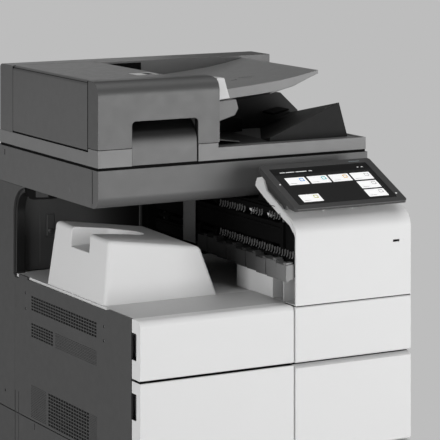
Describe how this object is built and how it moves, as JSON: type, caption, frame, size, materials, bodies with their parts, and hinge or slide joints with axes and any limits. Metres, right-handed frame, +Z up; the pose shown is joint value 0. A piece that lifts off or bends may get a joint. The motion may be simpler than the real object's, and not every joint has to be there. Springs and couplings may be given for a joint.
{
  "type": "photocopier",
  "caption": "Free-standing office photocopier with document feeder, tilting touch panel, stacked paper drawers, drop-down front doors and a side paper door.",
  "frame": {"origin": "centre of the footprint's bounding box, on the floor", "axes": "+Z up, -Y towards the user (front), +X towards the right-hand paper door"},
  "size_m": [0.6302, 0.7032, 1.239],
  "materials": {
    "cabinet_grey": "satin powder coat",
    "foot_steel": "zinc plated",
    "frame_steel": "galvanised sheet",
    "cover_dark_grey": "fine textured",
    "tray_dark_grey": "fine textured",
    "wall_grey": "fine textured",
    "tray_off_white": "satin",
    "cover_white": "satin",
    "black_plastic": "satin",
    "platen_glass": "polished",
    "inner_grey": "satin",
    "laser_casing": "satin",
    "belt_black": "polished film",
    "panel_dark": "fine textured",
    "screen_glass": "polished cover glass over a display",
    "pad_white": "matt foam-backed sheet",
    "roller_rubber": "matt",
    "fuser_rubber": "smooth silicone",
    "castor_rubber": "matt",
    "toner_yellow": "satin",
    "toner_magenta": "satin",
    "toner_cyan": "satin",
    "toner_black": "satin",
    "drum_coating": "polished photoconductor"
  },
  "bodies": {
    "chassis": {"cabinet_shell": "cabinet_grey", "levelling_foot_left": "foot_steel", "levelling_foot_right": "foot_steel", "main_frame": "frame_steel", "left_upper_cover": "cover_dark_grey", "left_lower_cover": "cover_dark_grey", "rear_left_column": "cover_dark_grey", "right_cover": "cover_dark_grey", "rear_cover": "cover_dark_grey", "cavity_rear_wall": "wall_grey", "output_tray": "tray_off_white", "front_ledge": "cover_white", "exit_guide_block": "tray_off_white", "exit_unit_housing": "black_plastic", "pillar_cover": "cover_white", "scanner_housing": "cover_dark_grey", "platen_glass": "platen_glass", "inner_front_panel": "inner_grey", "laser_unit": "laser_casing", "transfer_belt_unit": "belt_black", "fuser_housing": "black_plastic"},
    "operator_panel": {"operator_panel": "panel_dark", "touch_screen": "screen_glass"},
    "upper_front_door": {"upper_front_door": "cover_white"},
    "lower_front_door": {"lower_front_door": "cover_white"},
    "drawer_1": {"drawer_front_1": "cover_white", "drawer_tub_1": "black_plastic"},
    "drawer_2": {"drawer_front_2": "cover_white", "drawer_tub_2": "black_plastic"},
    "drawer_3": {"drawer_front_3": "cover_white", "drawer_tub_3": "black_plastic"},
    "right_door": {"right_door": "cover_dark_grey"},
    "bypass_tray": {"bypass_tray": "cover_dark_grey"},
    "adf_lid": {"adf_base": "cover_dark_grey", "platen_pad": "pad_white", "adf_front_cover": "cover_dark_grey", "adf_rear_cover": "cover_dark_grey", "adf_exit_ramp": "cover_dark_grey"},
    "adf_feed_cover": {"adf_feed_cover": "cover_dark_grey"},
    "adf_feed_roller": {"adf_feed_roller": "roller_rubber"},
    "document_tray": {"document_tray": "tray_dark_grey"},
    "paper_guide_front": {"paper_guide_front": "tray_dark_grey"},
    "paper_guide_rear": {"paper_guide_rear": "tray_dark_grey"},
    "scan_carriage": {"scan_carriage": "black_plastic"},
    "exit_roller_upper": {"exit_roller_upper": "roller_rubber"},
    "exit_roller_lower": {"exit_roller_lower": "roller_rubber"},
    "fuser_roller": {"fuser_roller": "fuser_rubber"},
    "castor_wheel_front_left": {"castor_wheel_front_left": "castor_rubber"},
    "castor_wheel_front_right": {"castor_wheel_front_right": "castor_rubber"},
    "castor_wheel_rear_left": {"castor_wheel_rear_left": "castor_rubber"},
    "castor_wheel_rear_right": {"castor_wheel_rear_right": "castor_rubber"},
    "toner_bottle_yellow": {"toner_bottle_yellow": "toner_yellow"},
    "toner_bottle_magenta": {"toner_bottle_magenta": "toner_magenta"},
    "toner_bottle_cyan": {"toner_bottle_cyan": "toner_cyan"},
    "toner_bottle_black": {"toner_bottle_black": "toner_black"},
    "drum_yellow": {"drum_yellow": "drum_coating"},
    "drum_magenta": {"drum_magenta": "drum_coating"},
    "drum_cyan": {"drum_cyan": "drum_coating"},
    "drum_black": {"drum_black": "drum_coating"}
  },
  "joints": [
    {"name": "upper_front_door_hinge", "type": "hinge", "parent": "chassis", "child": "upper_front_door", "pos_m": [-0.0076, -0.328, 0.696], "axis": [1, 0, 0], "range_deg": [0, 90], "stiffness_Nm_per_rad": 0.3, "springref_deg": -5.73},
    {"name": "lower_front_door_hinge", "type": "hinge", "parent": "chassis", "child": "lower_front_door", "pos_m": [-0.0076, -0.328, 0.515], "axis": [1, 0, 0], "range_deg": [0, 90], "stiffness_Nm_per_rad": 0.3, "springref_deg": -5.73},
    {"name": "drawer_1_slide", "type": "slide", "parent": "chassis", "child": "drawer_1", "axis": [0, -1, 0], "range_m": [0, 0.4]},
    {"name": "drawer_2_slide", "type": "slide", "parent": "chassis", "child": "drawer_2", "axis": [0, -1, 0], "range_m": [0, 0.4]},
    {"name": "drawer_3_slide", "type": "slide", "parent": "chassis", "child": "drawer_3", "axis": [0, -1, 0], "range_m": [0, 0.4]},
    {"name": "right_door_hinge", "type": "hinge", "parent": "chassis", "child": "right_door", "pos_m": [0.2909, 0.2075, 0.652], "axis": [0, 0, 1], "range_deg": [0, 85]},
    {"name": "bypass_tray_hinge", "type": "hinge", "parent": "right_door", "child": "bypass_tray", "pos_m": [0.2954, -0.067, 0.5645], "axis": [0, 1, 0], "range_deg": [0, 65], "stiffness_Nm_per_rad": 0.2, "springref_deg": -5.73},
    {"name": "adf_lid_hinge", "type": "hinge", "parent": "chassis", "child": "adf_lid", "pos_m": [-0.0076, 0.3435, 1.075], "axis": [-1, 0, 0], "range_deg": [0, 60]},
    {"name": "adf_feed_cover_hinge", "type": "hinge", "parent": "adf_lid", "child": "adf_feed_cover", "pos_m": [-0.3121, 0.0792, 1.1015], "axis": [0, -1, 0], "range_deg": [0, 85]},
    {"name": "adf_feed_roller_spin", "type": "hinge", "parent": "adf_lid", "child": "adf_feed_roller", "pos_m": [-0.1726, 0.008, 1.192], "axis": [0, 1, 0], "continuous": true},
    {"name": "document_tray_hinge", "type": "hinge", "parent": "adf_lid", "child": "document_tray", "pos_m": [-0.1076, 0.0705, 1.1765], "axis": [0, -1, 0], "range_deg": [0, 25]},
    {"name": "paper_guide_front_slide", "type": "slide", "parent": "document_tray", "child": "paper_guide_front", "axis": [0, 1, 0], "range_m": [0, 0.08]},
    {"name": "paper_guide_rear_slide", "type": "slide", "parent": "document_tray", "child": "paper_guide_rear", "axis": [0, -1, 0], "range_m": [0, 0.08]},
    {"name": "operator_panel_tilt", "type": "hinge", "parent": "chassis", "child": "operator_panel", "pos_m": [0.1474, -0.31, 0.985], "axis": [1, 0, 0], "range_deg": [0, 35]},
    {"name": "scan_carriage_slide", "type": "slide", "parent": "chassis", "child": "scan_carriage", "axis": [1, 0, 0], "range_m": [0, 0.5]},
    {"name": "fuser_roller_spin", "type": "hinge", "parent": "chassis", "child": "fuser_roller", "pos_m": [0.2374, 0.008, 0.7425], "axis": [0, 1, 0], "continuous": true},
    {"name": "exit_roller_upper_spin", "type": "hinge", "parent": "chassis", "child": "exit_roller_upper", "pos_m": [0.0394, 0.008, 0.966], "axis": [0, 1, 0], "continuous": true},
    {"name": "exit_roller_lower_spin", "type": "hinge", "parent": "chassis", "child": "exit_roller_lower", "pos_m": [0.0394, 0.008, 0.896], "axis": [0, 1, 0], "continuous": true},
    {"name": "castor_wheel_front_left_spin", "type": "hinge", "parent": "chassis", "child": "castor_wheel_front_left", "pos_m": [-0.2326, -0.217, 0.026], "axis": [1, 0, 0], "continuous": true},
    {"name": "castor_wheel_front_right_spin", "type": "hinge", "parent": "chassis", "child": "castor_wheel_front_right", "pos_m": [0.2174, -0.217, 0.026], "axis": [1, 0, 0], "continuous": true},
    {"name": "castor_wheel_rear_left_spin", "type": "hinge", "parent": "chassis", "child": "castor_wheel_rear_left", "pos_m": [-0.2326, 0.293, 0.025], "axis": [1, 0, 0], "continuous": true},
    {"name": "castor_wheel_rear_right_spin", "type": "hinge", "parent": "chassis", "child": "castor_wheel_rear_right", "pos_m": [0.2174, 0.293, 0.025], "axis": [1, 0, 0], "continuous": true},
    {"name": "toner_bottle_yellow_spin", "type": "hinge", "parent": "chassis", "child": "toner_bottle_yellow", "pos_m": [-0.2176, 0.008, 0.745], "axis": [0, 1, 0], "continuous": true},
    {"name": "toner_bottle_magenta_spin", "type": "hinge", "parent": "chassis", "child": "toner_bottle_magenta", "pos_m": [-0.0976, 0.008, 0.745], "axis": [0, 1, 0], "continuous": true},
    {"name": "toner_bottle_cyan_spin", "type": "hinge", "parent": "chassis", "child": "toner_bottle_cyan", "pos_m": [0.0224, 0.008, 0.745], "axis": [0, 1, 0], "continuous": true},
    {"name": "toner_bottle_black_spin", "type": "hinge", "parent": "chassis", "child": "toner_bottle_black", "pos_m": [0.1424, 0.008, 0.745], "axis": [0, 1, 0], "continuous": true},
    {"name": "drum_yellow_spin", "type": "hinge", "parent": "chassis", "child": "drum_yellow", "pos_m": [-0.2176, 0.008, 0.6], "axis": [0, 1, 0], "continuous": true},
    {"name": "drum_magenta_spin", "type": "hinge", "parent": "chassis", "child": "drum_magenta", "pos_m": [-0.0976, 0.008, 0.6], "axis": [0, 1, 0], "continuous": true},
    {"name": "drum_cyan_spin", "type": "hinge", "parent": "chassis", "child": "drum_cyan", "pos_m": [0.0224, 0.008, 0.6], "axis": [0, 1, 0], "continuous": true},
    {"name": "drum_black_spin", "type": "hinge", "parent": "chassis", "child": "drum_black", "pos_m": [0.1424, 0.008, 0.6], "axis": [0, 1, 0], "continuous": true}
  ],
  "couplings": [
    {"joint": "paper_guide_rear_slide", "follows": "paper_guide_front_slide", "ratio": 1},
    {"joint": "drum_magenta_spin", "follows": "drum_yellow_spin", "ratio": 1},
    {"joint": "drum_cyan_spin", "follows": "drum_yellow_spin", "ratio": 1},
    {"joint": "drum_black_spin", "follows": "drum_yellow_spin", "ratio": 1},
    {"joint": "exit_roller_upper_spin", "follows": "fuser_roller_spin", "ratio": 1.6667},
    {"joint": "exit_roller_lower_spin", "follows": "fuser_roller_spin", "ratio": 1.6667}
  ]
}
